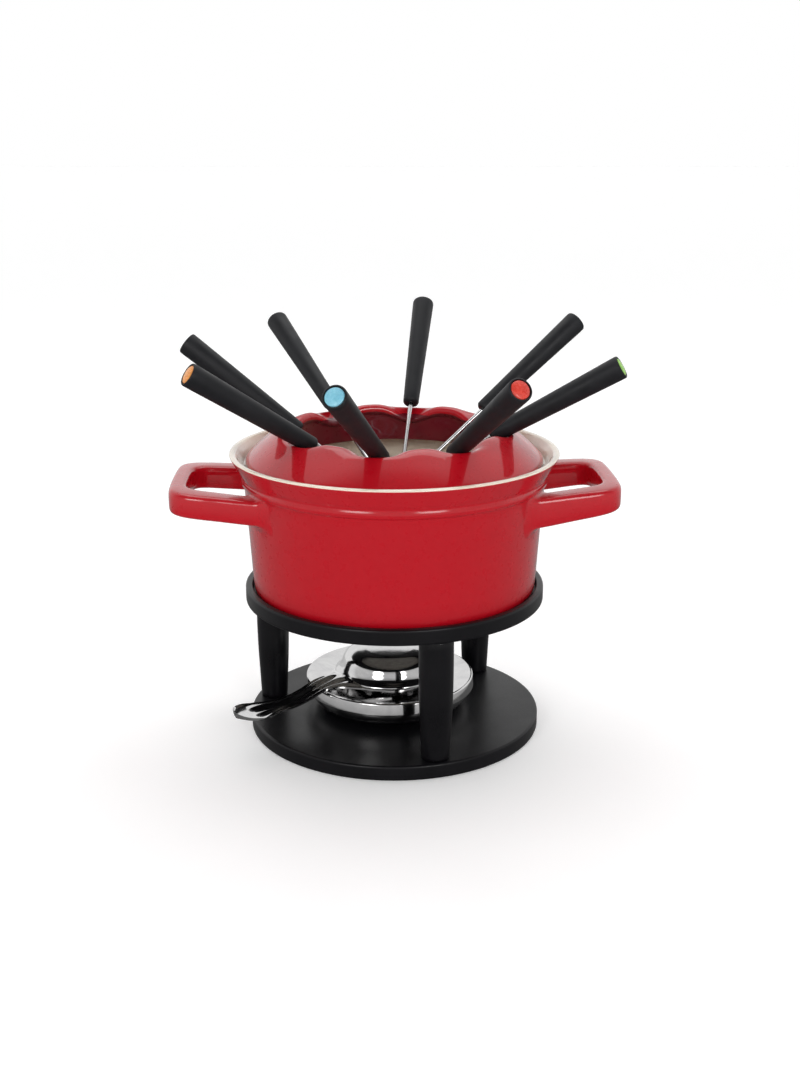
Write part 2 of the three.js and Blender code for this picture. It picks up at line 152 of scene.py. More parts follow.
def turned_mesh(profile, sides=SIDES, closed=False, bend=None):
    """A profile of (radius, height) points turned about Z. Points on the axis become poles.

    bend(radius, height, azimuth in degrees) may give back another (radius, height).
    """
    work = bmesh.new()
    rings = []
    for across, up in profile:
        if across < 1e-6:
            rings.append([work.verts.new((0, 0, up))])
            continue
        ring = []
        for side in range(sides):
            azimuth = 360 * side / sides
            radius, height = bend(across, up, azimuth) if bend else (across, up)
            angle = math.radians(azimuth)
            ring.append(work.verts.new((radius * math.sin(angle), -radius * math.cos(angle), height)))
        rings.append(ring)
    pairs = list(zip(rings, rings[1:]))
    if closed:
        pairs.append((rings[-1], rings[0]))
    for low, high in pairs:
        for side in range(sides):
            after = (side + 1) % sides
            corners = [
                low[side % len(low)],
                low[after % len(low)],
                high[after % len(high)],
                high[side % len(high)],
            ]
            unique = list(dict.fromkeys(corners))
            if len(unique) > 2:
                work.faces.new(unique)
    return work


def turned(name, profile, sides=SIDES, closed=False, bend=None, crease=38, place=None):
    return finish_mesh(name, turned_mesh(profile, sides, closed, bend), crease, place)


def close_tube(work, rings):
    """Adds the faces between rings of equally many points, and one over each end."""
    sides = len(rings[0])
    for low, high in zip(rings, rings[1:]):
        for step in range(sides):
            after = (step + 1) % sides
            work.faces.new([low[step], low[after], high[after], high[step]])
    work.faces.new(rings[0])
    work.faces.new(list(reversed(rings[-1])))


def box_mesh(size):
    work = bmesh.new()
    bmesh.ops.create_cube(work, size=1.0)
    bmesh.ops.scale(work, vec=size, verts=work.verts)
    return work


def spun(degrees):
    return Matrix.Rotation(math.radians(degrees), 4, "Z")


def tube_mesh(path, sides=16, work=None):
    """A closed tube with round section along a path of (Vector, radius), in millimetres."""
    work = work or bmesh.new()
    rings = []
    side = None
    for index, (point, radius) in enumerate(path):
        before = path[max(index - 1, 0)][0]
        after = path[min(index + 1, len(path) - 1)][0]
        along = (after - before).normalized()
        if side is None:
            side = along.orthogonal().normalized()
        side = (side - along * side.dot(along)).normalized()
        other = along.cross(side)
        ring = []
        for step in range(sides):
            angle = math.tau * step / sides
            offset = side * math.cos(angle) + other * math.sin(angle)
            ring.append(work.verts.new(point + offset * radius))
        rings.append(ring)
    close_tube(work, rings)
    return work


def combine(piece, tool, operation):
    """Joins or cuts a piece with a tool object, applies the result and removes the tool."""
    change = piece.modifiers.new("shape", "BOOLEAN")
    change.operation = operation
    change.solver = "EXACT"
    change.object = tool
    bpy.context.view_layer.update()
    graph = bpy.context.evaluated_depsgraph_get()
    result = bpy.data.meshes.new_from_object(piece.evaluated_get(graph))
    piece.modifiers.clear()
    old = piece.data
    piece.data = result
    result.name = old.name
    bpy.data.meshes.remove(old)
    tool_mesh = tool.data
    bpy.data.objects.remove(tool)
    bpy.data.meshes.remove(tool_mesh)


def resharpen(piece, crease=38):
    piece.data.shade_smooth()
    piece.data.set_sharp_from_angle(angle=math.radians(crease))


def place_piece(piece, body, slot, material, *nodes):
    """Gives a piece its material and body, and hides the CAD nodes it stands for. The slot is not used."""
    piece.data.materials.clear()
    piece.data.materials.append(material)
    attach(piece, body)
    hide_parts(*nodes)


# ---- material helpers
class Nodes:
    """Adds nodes to a tree and links them. A value is a number or another node's output."""

    def __init__(self, tree):
        self.tree = tree

    def add(self, kind, **settings):
        node = self.tree.nodes.new(kind)
        for key, value in settings.items():
            setattr(node, key, value)
        return node

    def link(self, start, end):
        self.tree.links.new(start, end)

    def feed(self, value, socket):
        if isinstance(value, (int, float)):
            socket.default_value = value
        else:
            self.link(value, socket)

    def ranged(self, value, start, end, low, high):
        """Maps value from start..end to low..high, clamped and smooth."""
        node = self.add("ShaderNodeMapRange", interpolation_type="SMOOTHSTEP")
        names = ("Value", "From Min", "From Max", "To Min", "To Max")
        for name, number in zip(names, (value, start, end, low, high)):
            self.feed(number, node.inputs[name])
        return node.outputs["Result"]

    def math(self, operation, first, second):
        node = self.add("ShaderNodeMath", operation=operation)
        self.feed(first, node.inputs[0])
        self.feed(second, node.inputs[1])
        return node.outputs["Value"]


class Look(Nodes):
    """A material under construction: a Principled shader with its texture nodes."""

    def __init__(self, name, roughness=0.5, metallic=0.0, **sockets):
        self.material = bpy.data.materials.new(name)
        self.material.use_nodes = True
        super().__init__(self.material.node_tree)
        self.tree.nodes.clear()
        output = self.add("ShaderNodeOutputMaterial")
        self.shader = self.add("ShaderNodeBsdfPrincipled")
        self.link(self.shader.outputs["BSDF"], output.inputs["Surface"])
        self.shader.inputs["Roughness"].default_value = roughness
        self.shader.inputs["Metallic"].default_value = metallic
        for socket, value in sockets.items():
            self.shader.inputs[socket.replace("_", " ")].default_value = value
        self.coordinates = self.add("ShaderNodeTexCoord").outputs["Object"]
        self.height = None

    def stretched(self, stretch):
        mapping = self.add("ShaderNodeMapping")
        mapping.inputs["Scale"].default_value = stretch
        self.link(self.coordinates, mapping.inputs["Vector"])
        return mapping.outputs["Vector"]

    def noise(self, size, detail=3.0, roughness=0.55, stretch=None, warp=0.0, vector=None):
        """Noise between 0 and 1 whose features are about size millimetres across."""
        node = self.add("ShaderNodeTexNoise")
        node.inputs["Scale"].default_value = 1.0 / (size * MM)
        node.inputs["Detail"].default_value = detail
        node.inputs["Roughness"].default_value = roughness
        node.inputs["Distortion"].default_value = warp
        source = vector or (self.stretched(stretch) if stretch else self.coordinates)
        self.link(source, node.inputs["Vector"])
        return node.outputs["Fac"]

    def cells(self, size):
        """Distance to the nearest of many scattered points about size millimetres apart, in cells."""
        node = self.add("ShaderNodeTexVoronoi", feature="F1")
        node.inputs["Scale"].default_value = 1.0 / (size * MM)
        self.link(self.coordinates, node.inputs["Vector"])
        return node.outputs["Distance"]

    def weighted(self, first, first_share, second, second_share):
        """The sum of two values, each multiplied by its share."""
        first_part = self.math("MULTIPLY", first, first_share)
        second_part = self.math("MULTIPLY", second, second_share)
        return self.math("ADD", first_part, second_part)

    def axis(self, letter):
        node = self.add("ShaderNodeSeparateXYZ")
        self.link(self.coordinates, node.inputs["Vector"])
        return node.outputs[letter]

    def distance_from_axis(self):
        across = self.math("MULTIPLY", self.axis("X"), self.axis("X"))
        deep = self.math("MULTIPLY", self.axis("Y"), self.axis("Y"))
        return self.math("POWER", self.math("ADD", across, deep), 0.5)

    def turning_lines(self, size):
        """Noise that runs in rings about the Z axis, as a lathe or a spun polish leaves."""
        position = self.add("ShaderNodeCombineXYZ")
        self.link(self.distance_from_axis(), position.inputs["X"])
        self.link(self.axis("Z"), position.inputs["Y"])
        return self.noise(size, 4.0, 0.7, vector=position.outputs["Vector"])

    def colours(self, value, *stops):
        """Colours by value: each stop is (position, (r, g, b))."""
        node = self.add("ShaderNodeValToRGB")
        elements = node.color_ramp.elements
        while len(elements) < len(stops):
            elements.new(0.5)
        for element, (position, colour) in zip(elements, stops):
            element.position = position
            element.color = (*colour, 1.0)
        self.link(value, node.inputs["Fac"])
        return node.outputs["Color"]

    def blend(self, share, first, second):
        """The first colour where share is 0, the second where it is 1."""
        node = self.add("ShaderNodeMix", data_type="RGBA")
        self.link(share, node.inputs["Factor"])
        colour_sockets = [socket for socket in node.inputs if socket.type == "RGBA"]
        for socket, colour in zip(colour_sockets, (first, second)):
            if isinstance(colour, tuple):
                socket.default_value = (*colour, 1.0)
            else:
                self.link(colour, socket)
        return next(socket for socket in node.outputs if socket.type == "RGBA")

    def colour(self, source):
        self.link(source, self.shader.inputs["Base Color"])

    def tone(self, value, dark, light, start=0.3, end=0.7):
        """Base colour from dark to light as value goes from start to end."""
        self.colour(self.colours(value, (start, dark), (end, light)))

    def roughness(self, value, low, high, start=0.3, end=0.7):
        """Roughness from low to high as value goes from start to end."""
        self.link(self.ranged(value, start, end, low, high), self.shader.inputs["Roughness"])

    def bump(self, value, depth, strength=1.0):
        """Adds relief of depth millimetres on top of any relief added before."""
        node = self.add("ShaderNodeBump")
        node.inputs["Distance"].default_value = depth * MM
        node.inputs["Strength"].default_value = strength
        self.link(value, node.inputs["Height"])
        if self.height is not None:
            self.link(self.height, node.inputs["Normal"])
        self.height = node.outputs["Normal"]
        self.link(self.height, self.shader.inputs["Normal"])


# ---- materials
def lacquer():
    """Satin black lacquer on turned board: fine grain under the coat, dust and handling wear."""
    look = Look("black_lacquer", 0.34, IOR=1.45, Specular_IOR_Level=0.3)
    broad = look.noise(26, 3)
    grain = look.noise(2.2, 4, stretch=(1.0, 7.0, 1.0), warp=0.4)
    fine = look.noise(0.5, 2)
    tone = look.weighted(broad, 0.6, grain, 0.4)
    look.tone(tone, (0.0022, 0.0020, 0.0028), (0.0050, 0.0046, 0.0062), 0.25, 0.75)
    wear = look.weighted(broad, 0.5, fine, 0.5)
    look.roughness(wear, 0.27, 0.4)
    look.bump(grain, 0.012)
    look.bump(fine, 0.006)
    return look.material


def red_glaze(name="red_glaze", depth=1.0):
    """Deep red glaze: a clear coat with a faint ripple over one even red.

    The lighter red of the pools shows only in dots under a millimetre across, one in each cell. A depth under
    1 darkens every red into a shaded copy of the glaze, which is painted shade.
    """
    look = Look(name, 0.3, Coat_Weight=0.85, Coat_Roughness=0.03, Coat_IOR=1.5, IOR=1.5,
                Specular_IOR_Level=0.12)
    pools = look.noise(34, 3, warp=0.5)
    mottle = look.noise(4.5, 3)
    dots = look.ranged(look.cells(11.0), 0.015, 0.035, 1.0, 0.0)
    lighter = look.colours(
        look.weighted(pools, 0.7, mottle, 0.3),
        (0.3, (0.475 * depth, 0.0035, 0.0115)),
        (0.5, (0.50 * depth, 0.0042, 0.0130)),
        (0.72, (0.53 * depth, 0.0052, 0.0150)),
    )
    look.colour(look.blend(dots, (0.44 * depth, 0.0035, 0.011), lighter))
    look.roughness(mottle, 0.26, 0.36)
    look.bump(look.noise(14, 1.5), 0.02)
    return look.material


def cream_glaze():
    """Cream glaze of the pot's inside: warm white with fine specks, slightly darker where it pools."""
    look = Look("cream_glaze", 0.2, Coat_Weight=0.9, Coat_Roughness=0.05, IOR=1.5)
    pools = look.noise(24, 3, warp=0.4)
    mottle = look.noise(2.8, 3)
    beside_specks = look.ranged(look.cells(3.1), 0.04, 0.09, 0.0, 1.0)
    tone = look.weighted(pools, 0.6, mottle, 0.4)
    body = look.colours(tone, (0.3, (0.78, 0.66, 0.52)), (0.7, (0.88, 0.79, 0.67)))
    look.colour(look.blend(beside_specks, (0.42, 0.31, 0.2), body))
    look.roughness(mottle, 0.16, 0.27)
    look.bump(look.noise(12, 1.5), 0.02)
    return look.material


def bare_clay():
    """Unglazed clay under the pot, where it stood in the kiln."""
    look = Look("bare_clay", 0.8)
    grain = look.noise(0.8, 4)
    look.tone(look.noise(7, 3), (0.15, 0.14, 0.125), (0.22, 0.205, 0.18))
    look.roughness(grain, 0.7, 0.9)
    look.bump(grain, 0.03)
    return look.material


def black_plastic():
    """Fine-textured black plastic of the grips, a little polished where fingers hold it."""
    look = Look("black_plastic", 0.5, IOR=1.46, Specular_IOR_Level=0.3)
    handled = look.noise(14, 2)
    grain = look.cells(0.42)
    look.tone(handled, (0.0075, 0.0078, 0.0095), (0.013, 0.0135, 0.016))
    look.roughness(handled, 0.42, 0.56, 0.35, 0.65)
    look.bump(grain, 0.05, 0.6)
    look.bump(look.noise(1.1, 2), 0.02)
    return look.material


def fork_steel():
    """Drawn stainless wire: bright, with faint lines along its length."""
    look = Look("fork_steel", 0.2, 1.0)
    lines = look.noise(0.22, 3, stretch=(1.0, 1.0, 0.03))
    look.tone(look.noise(9, 2), (0.56, 0.56, 0.57), (0.68, 0.68, 0.68))
    look.roughness(lines, 0.14, 0.28)
    look.bump(lines, 0.006)
    return look.material


def polished_steel():
    """Spun and polished sheet steel with faint turning lines, smears and hairline scratches."""
    look = Look("polished_steel", 0.14, 1.0)
    lines = look.turning_lines(0.35)
    smears = look.noise(11, 3, warp=0.8)
    scratches = look.ranged(look.noise(0.35, 2, stretch=(1.0, 0.06, 1.0)), 0.68, 0.78, 0.0, 1.0)
    look.tone(smears, (0.60, 0.595, 0.60), (0.72, 0.715, 0.71))
    wear = look.weighted(smears, 0.7, scratches, 0.3)
    look.roughness(wear, 0.08, 0.2, 0.25, 0.75)
    look.bump(lines, 0.0025)
    look.bump(look.noise(16, 2), 0.05)
    return look.material


def zinc_steel():
    """Dull zinc-plated steel of the screws, wires and gauze."""
    look = Look("zinc_steel", 0.4, 1.0)
    grain = look.noise(0.5, 3)
    look.tone(look.cells(1.2), (0.36, 0.37, 0.38), (0.52, 0.53, 0.54), 0.2, 0.8)
    look.roughness(grain, 0.32, 0.5)
    look.bump(grain, 0.02)
    return look.material


def felt():
    """Dark pressed felt of the anti-slip pad."""
    look = Look("felt", 0.95, Sheen_Weight=0.25, Sheen_Roughness=0.6)
    fibres = look.noise(0.7, 4, 0.7, warp=1.5)
    look.tone(fibres, (0.012, 0.012, 0.013), (0.045, 0.045, 0.048))
    look.roughness(fibres, 0.86, 1.0)
    look.bump(fibres, 0.18)
    look.bump(look.noise(0.25, 2), 0.06)
    return look.material


def wadding():
    """Off-white mineral wadding that soaks up the fuel."""
    look = Look("wadding", 0.97, Sheen_Weight=0.2)
    fibres = look.noise(0.9, 5, 0.75, warp=2.2)
    look.tone(fibres, (0.42, 0.38, 0.31), (0.78, 0.75, 0.68), 0.25, 0.75)
    look.roughness(fibres, 0.9, 1.0)
    look.bump(fibres, 0.5)
    return look.material


def cap_plastic(name, deep, bright):
    """Glossy coloured plastic of a fork's cap, with moulding swirl and light scratches."""
    look = Look(name, 0.25, IOR=1.48, Subsurface_Weight=0.08, Subsurface_Scale=0.002)
    swirl = look.noise(5, 3, warp=1.0)
    look.tone(swirl, deep, bright)
    look.roughness(look.noise(1.2, 3), 0.2, 0.34)
    look.bump(look.noise(2.4, 2), 0.012)
    return look.material


LACQUER = lacquer()
RED = red_glaze()
# a darker copy of the red glaze: painted shade for the ring's hollow and its faces that look down
SHADED_RED = red_glaze("red_glaze_painted_shade", 0.3)
CREAM = cream_glaze()
CLAY = bare_clay()
PLASTIC = black_plastic()
FORK_STEEL = fork_steel()
STEEL = polished_steel()
ZINC = zinc_steel()
FELT = felt()
WADDING = wadding()


# ---- stand
def centre_of(node):
    low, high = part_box(node)
    return (low + high) / 2


def heights(node):
    low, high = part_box(node)
    return low.z / MM, high.z / MM


def reach_of(node):
    low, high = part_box(node)
    return (high.x - low.x) / 2 / MM


SCREWS = [name for name in NODES if name.startswith("screw_")]
SCREW_RADIUS = 2.0
SCREW_CORE = SCREW_RADIUS * 0.78
SCREW_HEAD = 4.0  # radius of the countersunk head
SCREW_PITCH = 1.25
SCREW_GAP = 0.3  # clearance of the hole round the screw
SCREW_ENTRY = 4  # how far the hole's cutter stands out over the head
RECESS = (4.2, 0.75, 3.0)  # one bar of the cross recess: length, width, height of the cutter
RECESS_TURNS = (20, 110)


def screw_frame(node):
    """Where a screw stands: its head at the origin and its shank along +Z."""
    low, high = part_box(node)
    middle = centre_of(node)
    if "_top_" in node:
        return Matrix.Translation((middle.x, middle.y, high.z)) @ Matrix.Rotation(math.pi, 4, "X")
    return Matrix.Translation((middle.x, middle.y, low.z))


def screw_length(node):
    low, high = heights(node)
    return high - low


def screw_hole(node):
    length = screw_length(node)
    return turned("hole", [
        (0, -SCREW_GAP - SCREW_ENTRY),
        (SCREW_HEAD + SCREW_GAP, -SCREW_GAP - SCREW_ENTRY),
        (SCREW_HEAD + SCREW_GAP, -SCREW_GAP),
        (SCREW_RADIUS + SCREW_GAP, SCREW_HEAD - SCREW_RADIUS),
        (SCREW_RADIUS + SCREW_GAP, length - 3),
        (0, length + SCREW_GAP),
    ], 48, place=screw_frame(node))


def drill(piece, screws):
    for node in screws:
        combine(piece, screw_hole(node), "DIFFERENCE")
    resharpen(piece)


def build_screw(node):
    """A countersunk screw with a cross recess and grooves that stand for its thread."""
    length = screw_length(node)
    place = screw_frame(node)
    profile = [
        (0, 0),
        (SCREW_HEAD - 0.25, 0),
        (SCREW_HEAD, 0.25),
        (SCREW_RADIUS * 0.86, SCREW_HEAD - SCREW_RADIUS + 0.3),
    ]
    height = SCREW_HEAD - SCREW_RADIUS + 1.2
    while height < length - 3.2:
        profile.append((SCREW_CORE, height))
        profile.append((SCREW_RADIUS, height + SCREW_PITCH * 0.42))
        profile.append((SCREW_CORE, height + SCREW_PITCH * 0.84))
        height += SCREW_PITCH
    profile += [(SCREW_RADIUS * 0.7, length - 2.2), (0, length)]
    piece = turned(f"{node}_fine", profile, 40, crease=30, place=place)
    for turn in RECESS_TURNS:
        combine(piece, finish_mesh("recess", box_mesh(RECESS), place=place @ spun(turn)), "DIFFERENCE")
    resharpen(piece, 30)
    place_piece(piece, "stand", "zinc_steel", ZINC, node)


def build_stand():
    pad_low, pad_high = heights("base_pad")
    pad_reach = reach_of("base_pad")
    pad = turned("pad", rounded([
        (0, pad_low, 0), (pad_reach, pad_low, 0.5), (pad_reach, pad_high, 0.4), (0, pad_high, 0)]))
    place_piece(pad, "stand", "felt", FELT, "base_pad")

    low, top = heights("base_plate")
    reach = reach_of("base_plate")
    plate = turned("lower_plate", rounded([
        (0, pad_high + 0.3, 0),
        (pad_reach + 0.3, pad_high + 0.3, 0.2),
        (pad_reach + 0.3, low, 0.3),
        (reach, low, 0.9),
        (reach, top, 1.3),
        (0, top, 0),
    ], steps=6))
    drill(plate, [node for node in SCREWS if "_base_" in node])
    place_piece(plate, "stand", "black_lacquer", LACQUER, "base_plate")

    low, top = heights("upper_plate")
    reach = reach_of("upper_plate")
    seat = heights("pot_body")[0] - 0.3
    hole = 46.0  # radius of the flame hole
    lip = 82.3  # inner radius of the lip round the pot's foot
    upper = turned("upper_ring_plate", rounded([
        (hole, low, 0.8),
        (reach, low, 1.0),
        (reach, top, 1.5),
        (lip, top, 0.7),
        (lip, seat, 0.5),
        (hole, seat, 0.8),
    ], closed=True, steps=6), closed=True)
    drill(upper, [node for node in SCREWS if "_top_" in node])
    place_piece(upper, "stand", "black_lacquer", LACQUER, "upper_plate")

    for side in ("front", "left", "back"):
        node = f"column_{side}"
        low, top = heights(node)
        reach = reach_of(node)
        foot = reach - 1.6  # the column's radius at its foot
        span = top - low
        middle = centre_of(node)
        outline = flowing([
            (foot, low + 1.2),
            (foot + 0.55, low + span * 0.2),
            (reach - 0.3, low + span * 0.45),
            (reach, low + span * 0.68),
            (reach, top - 0.9),
        ], 6)
        profile = [
            (0, low), (foot - 0.9, low), (foot - 0.5, low), (foot - 0.15, low + 0.3), *outline,
            (reach - 0.2, top - 0.3), (reach - 0.6, top), (reach - 1.0, top), (0, top),
        ]
        place = Matrix.Translation((middle.x, middle.y, 0))
        column = turned(f"{node}_post", profile, SIDES_SMALL, place=place)
        drill(column, [screw for screw in SCREWS if screw.endswith(side)])
        place_piece(column, "stand", "black_lacquer", LACQUER, node)

    for node in SCREWS:
        build_screw(node)


# ---- pot
POT_TURN = 2.5  # degrees by which the handles are turned from left and right
POT_WALL = [(80.9, 86.2), (81.5, 90), (82.4, 104), (83.3, 118), (84.35, 133), (85.3, 146.5)]
FILLET = 4.5  # radius of the glaze fillet where a handle meets the wall
HANDLE_RING = 40  # points round a handle's section
HANDLE_SQUARENESS = 0.42  # 1 gives an elliptic section, 0 a square one
HANDLE_FROM = 68  # distance from the pot's axis where the heights below begin to change
HANDLE_RUN = 58  # and over how much of the handle's length they change
HANDLE_TOPS = (146.8, 151.5)
HANDLE_END_BOTTOM = 138.0
HANDLE_ROOT_BOTTOMS = {0: 128.4, 180: 132.4}  # by the handle's turn
FACING_DOWN = -0.3  # a face whose normal is lower than this looks down
CLAY_HEIGHT = 1.8  # the bare clay ends this high over the pot's foot
RIM_RISE = 0.4  # the lining's edge stands this much over the rim height used below


def wall_radius(height):
    for (low_radius, low), (high_radius, high) in zip(POT_WALL, POT_WALL[1:]):
        if height <= high:
            return mix(low_radius, high_radius, (height - low) / (high - low))
    return POT_WALL[-1][0]


def handle_rails():
    """The handle's outer and inner outlines in plan, from one root, within the wall, to the other."""
    outer = [
        (68.2, -47.0), (84, -44.6), (97, -42.6), (109, -40.9), (117.0, -38.6), (122.2, -34.6),
        (124.9, -28.5), (125.8, -16), (126, 0),
    ]
    inner = [
        (76.4, -31.4), (84, -30.0), (95, -28.0), (104, -26.5), (110.0, -25.0), (113.6, -22.2),
        (115.6, -17.6), (116.4, -9), (116.5, 0),
    ]
    mirrored = [[(x, -y) for x, y in reversed(line[:-1])] for line in (outer, inner)]
    return flowing(outer + mirrored[0], 14), flowing(inner + mirrored[1], 14)


def handle_mesh(work, turn, root_bottom):
    """One loop handle: rounded sections between the two rails, flared where they meet the wall."""
    outer, inner = handle_rails()
    rings = []
    for (outer_x, outer_y), (inner_x, inner_y) in zip(outer, inner):
        middle = Vector(((outer_x + inner_x) / 2, (outer_y + inner_y) / 2, 0))
        across = Vector((outer_x - inner_x, outer_y - inner_y, 0))
        half_width = across.length / 2
        across.normalize()
        outward = (middle.x - HANDLE_FROM) / HANDLE_RUN
        bottom = mix(root_bottom, HANDLE_END_BOTTOM, outward)
        top = mix(*HANDLE_TOPS, outward)
        half_height = (top - bottom) / 2
        ring = []
        for step in range(HANDLE_RING):
            angle = math.tau * step / HANDLE_RING
            cos = math.cos(angle)
            sin = math.sin(angle)
            side = math.copysign(abs(cos) ** HANDLE_SQUARENESS, cos) * half_width
            up = math.copysign(abs(sin) ** HANDLE_SQUARENESS, sin) * half_height
            point = middle + across * side + Vector((0, 0, (top + bottom) / 2 + up))
            clear = math.hypot(point.x, point.y) - wall_radius(point.z)
            near = min(FILLET, max(0.0, clear))
            flare = FILLET - math.sqrt(max(0.0, FILLET ** 2 - (FILLET - near) ** 2))
            outward_here = Vector((point.x, point.y, 0)).normalized()
            direction = across * cos + Vector((0, 0, sin))
            direction -= outward_here * direction.dot(outward_here)
            radius = math.hypot(point.x, point.y)
            point += direction.normalized() * flare
            kept = radius / math.hypot(point.x, point.y)
            ring.append(Vector((point.x * kept, point.y * kept, point.z)))
        rings.append(ring)
    spin = spun(turn)
    close_tube(work, [[work.verts.new(spin @ point) for point in ring] for ring in rings])


def build_pot():
    bottom, rim = heights("pot_body")
    rim -= RIM_RISE
    wall = flowing(POT_WALL, 4)
    band = flowing([
        (85.5, 148.0), (86.1, 148.5), (86.8, 149.3), (87.1, 150.5), (86.95, 151.8), (86.6, 152.8),
        (86.75, 153.8), (87.9, 155.4), (90.1, 159.2), (92.0, 162.6), (92.9, 164.1), (93.0, 164.6),
        (92.6, rim - 0.25), (91.4, rim + 0.1),
    ], 4)
    foot = [
        (0, bottom + 1.6), (66, bottom + 1.6), (67.6, bottom + 1.3), (68.6, bottom + 0.3),
        (69.4, bottom), (78.2, bottom), (79.6, bottom + 0.35), (80.5, bottom + 1.2),
    ]
    inside = [
        (90.5, rim - 0.2), (88.9, 162.3), (87.1, 158.6), (86.3, 157.8), (82.9, 156.4), (81.8, 155.4),
        (80.4, 148), (79.9, 134), (78.6, 118), (76.9, 98), (74.4, 92.6), (71.0, 90.3), (66, 89.6), (0, 89.6),
    ]
    turn = spun(POT_TURN)
    pot = turned("pot_glazed", foot + wall + band + inside, SIDES_POT, crease=60, place=turn)
    loops = bmesh.new()
    for handle_turn, root_bottom in HANDLE_ROOT_BOTTOMS.items():
        handle_mesh(loops, handle_turn, root_bottom)
    combine(pot, finish_mesh("loops", loops, 60, turn), "UNION")
    resharpen(pot, 60)
    place_piece(pot, "pot", "red_glaze", RED, "pot_body")
    pot.data.materials.append(CLAY)
    for face in pot.data.polygons:
        if face.normal.z < FACING_DOWN and face.center.z / MM < bottom + CLAY_HEIGHT:
            face.material_index = 1

    edge = flowing([
        (93.2, 164.9), (93.15, rim - 0.2), (92.7, rim + 0.22), (91.9, rim + 0.42), (90.9, rim + 0.36),
    ], 4)
    ledge = flowing([(89.7, rim - 0.3), (88.2, 162.4), (86.4, 159.0), (85.4, 158.1), (82.2, 157.0)], 5)
    lower = flowing([
        (81.0, 155.8), (80.0, 148), (79.4, 134), (78.2, 118), (76.5, 98), (74.0, 93.0), (70.8, 90.7),
        (66, 90.0),
    ], 6)
    back = [
        (66, 89.2), (71.6, 89.9), (75.2, 92.4), (77.6, 98), (79.2, 118), (80.5, 134), (81.0, 148),
        (81.6, 155.4), (82.8, 156.5), (86.5, 157.9), (88.8, 162.0), (90.5, rim - 0.5),
    ]
    shell = [(92.4, rim - 0.6), (93.0, 164.75), *edge, *ledge, *lower, (0, 90.0), (0, 89.2), *back]
    glaze = turned("pot_lining", shell, SIDES_POT, closed=True, crease=60, place=turn)
    place_piece(glaze, "pot", "cream_glaze", CREAM)


# ---- fork ring
FIRST_NOTCH = -9  # azimuth of the first notch, in degrees
NOTCHES = 8
NOTCH_DEPTH = 7.0
NOTCH_REACH = 9.0  # a notch fades out this far outside the crest
RING_CREST_RADIUS = 59.5
RING_FOOT = 157.4  # height of the ring's foot
# the faces of the ring's hole get the darker red of painted shade
RING_HOLE_RADIUS = 62.4  # faces nearer the axis than this and
RING_HOLE_TOP = 173.6  # lower than this line the ring's hole


def notch_share(azimuth):
    phase = math.radians((azimuth - FIRST_NOTCH) * NOTCHES)
    return (0.5 + 0.5 * math.cos(phase)) ** 1.5


def scallop(radius, height, azimuth):
    """Sinks the ring's crest at the notches and leaves its outer edge and its foot alone."""
    near_crest = 1 - smoothstep(radius - RING_CREST_RADIUS, 1, NOTCH_REACH)
    lifted = smoothstep(height - RING_FOOT, 4, 22)
    return radius, height - NOTCH_DEPTH * notch_share(azimuth) * near_crest * lifted


def build_ring():
    foot = [(61.8, 158.0), (62.4, 157.45), (63.1, 157.45), (63.8, 158.0)]
    hollow = [
        (64.2, 163), (64.9, 167.6), (66.2, 169.6), (68.6, 169.7), (74.0, 166.6), (79.2, 162.4), (82.0, 159.8),
    ]
    dome = [
        (83.0, 159.4), (83.9, 159.8), (84.2, 161.0), (83.7, 162.7), (81.0, 165.6), (75.4, 170.5),
        (69.8, 174.9), (65.4, 178.1), (63.0, 179.2), (61.2, 179.4), (59.6, 178.7), (58.8, 177.2),
        (58.9, 175.6), (59.7, 174.2), (60.9, 173.2), (61.3, 171.6), (61.5, 168), (61.6, 163),
    ]
    profile = flowing(foot + hollow + dome, 5, closed=True)
    ring = turned("scalloped_ring", profile, SIDES_RING, closed=True, bend=scallop, crease=75)
    place_piece(ring, "ring", "red_glaze", RED, "fork_ring")
    # the second material, a darker red, is painted shade in the ring's hole and on the faces that look down
    ring.data.materials.append(SHADED_RED)
    for face in ring.data.polygons:
        x, y, z = face.center / MM
        inside = math.hypot(x, y) < RING_HOLE_RADIUS and z < RING_HOLE_TOP
        if inside or face.normal.z < FACING_DOWN:
            face.material_index = 1


# ---- forks
CAPS = {
    "sky": ((0.20, 0.52, 0.66), (0.27, 0.60, 0.74)),
    "coral": ((0.62, 0.045, 0.030), (0.75, 0.075, 0.05)),
    "lime": ((0.20, 0.50, 0.035), (0.30, 0.62, 0.06)),
    "blue": ((0.05, 0.24, 0.58), (0.09, 0.32, 0.68)),
    "yellow": ((0.75, 0.52, 0.04), (0.85, 0.64, 0.08)),
    "pink": ((0.70, 0.16, 0.32), (0.82, 0.24, 0.42)),
    "purple": ((0.17, 0.05, 0.36), (0.26, 0.09, 0.46)),
    "orange": ((0.74, 0.26, 0.04), (0.86, 0.36, 0.09)),
}


def fork_frame(colour):
    """The fork's own frame, Z up its axis from the grip's lower end and X level, and the grip's length."""
    axis = Vector(JOINTS[f"fork_{colour}_pull"]["axis"]).normalized()
    side = Vector((0, 0, 1)).cross(axis).normalized()
    top = axis.cross(side)
    points = [vertex.co for vertex in NODES[f"fork_{colour}_grip"].data.vertices]
    middle = sum(points, Vector()) / len(points)
    along = [(point - middle).dot(axis) for point in points]
    origin = middle + axis * min(along)
    basis = Matrix((side, top, axis)).transposed().to_4x4()
    return Matrix.Translation(origin) @ basis, (max(along) - min(along)) / MM


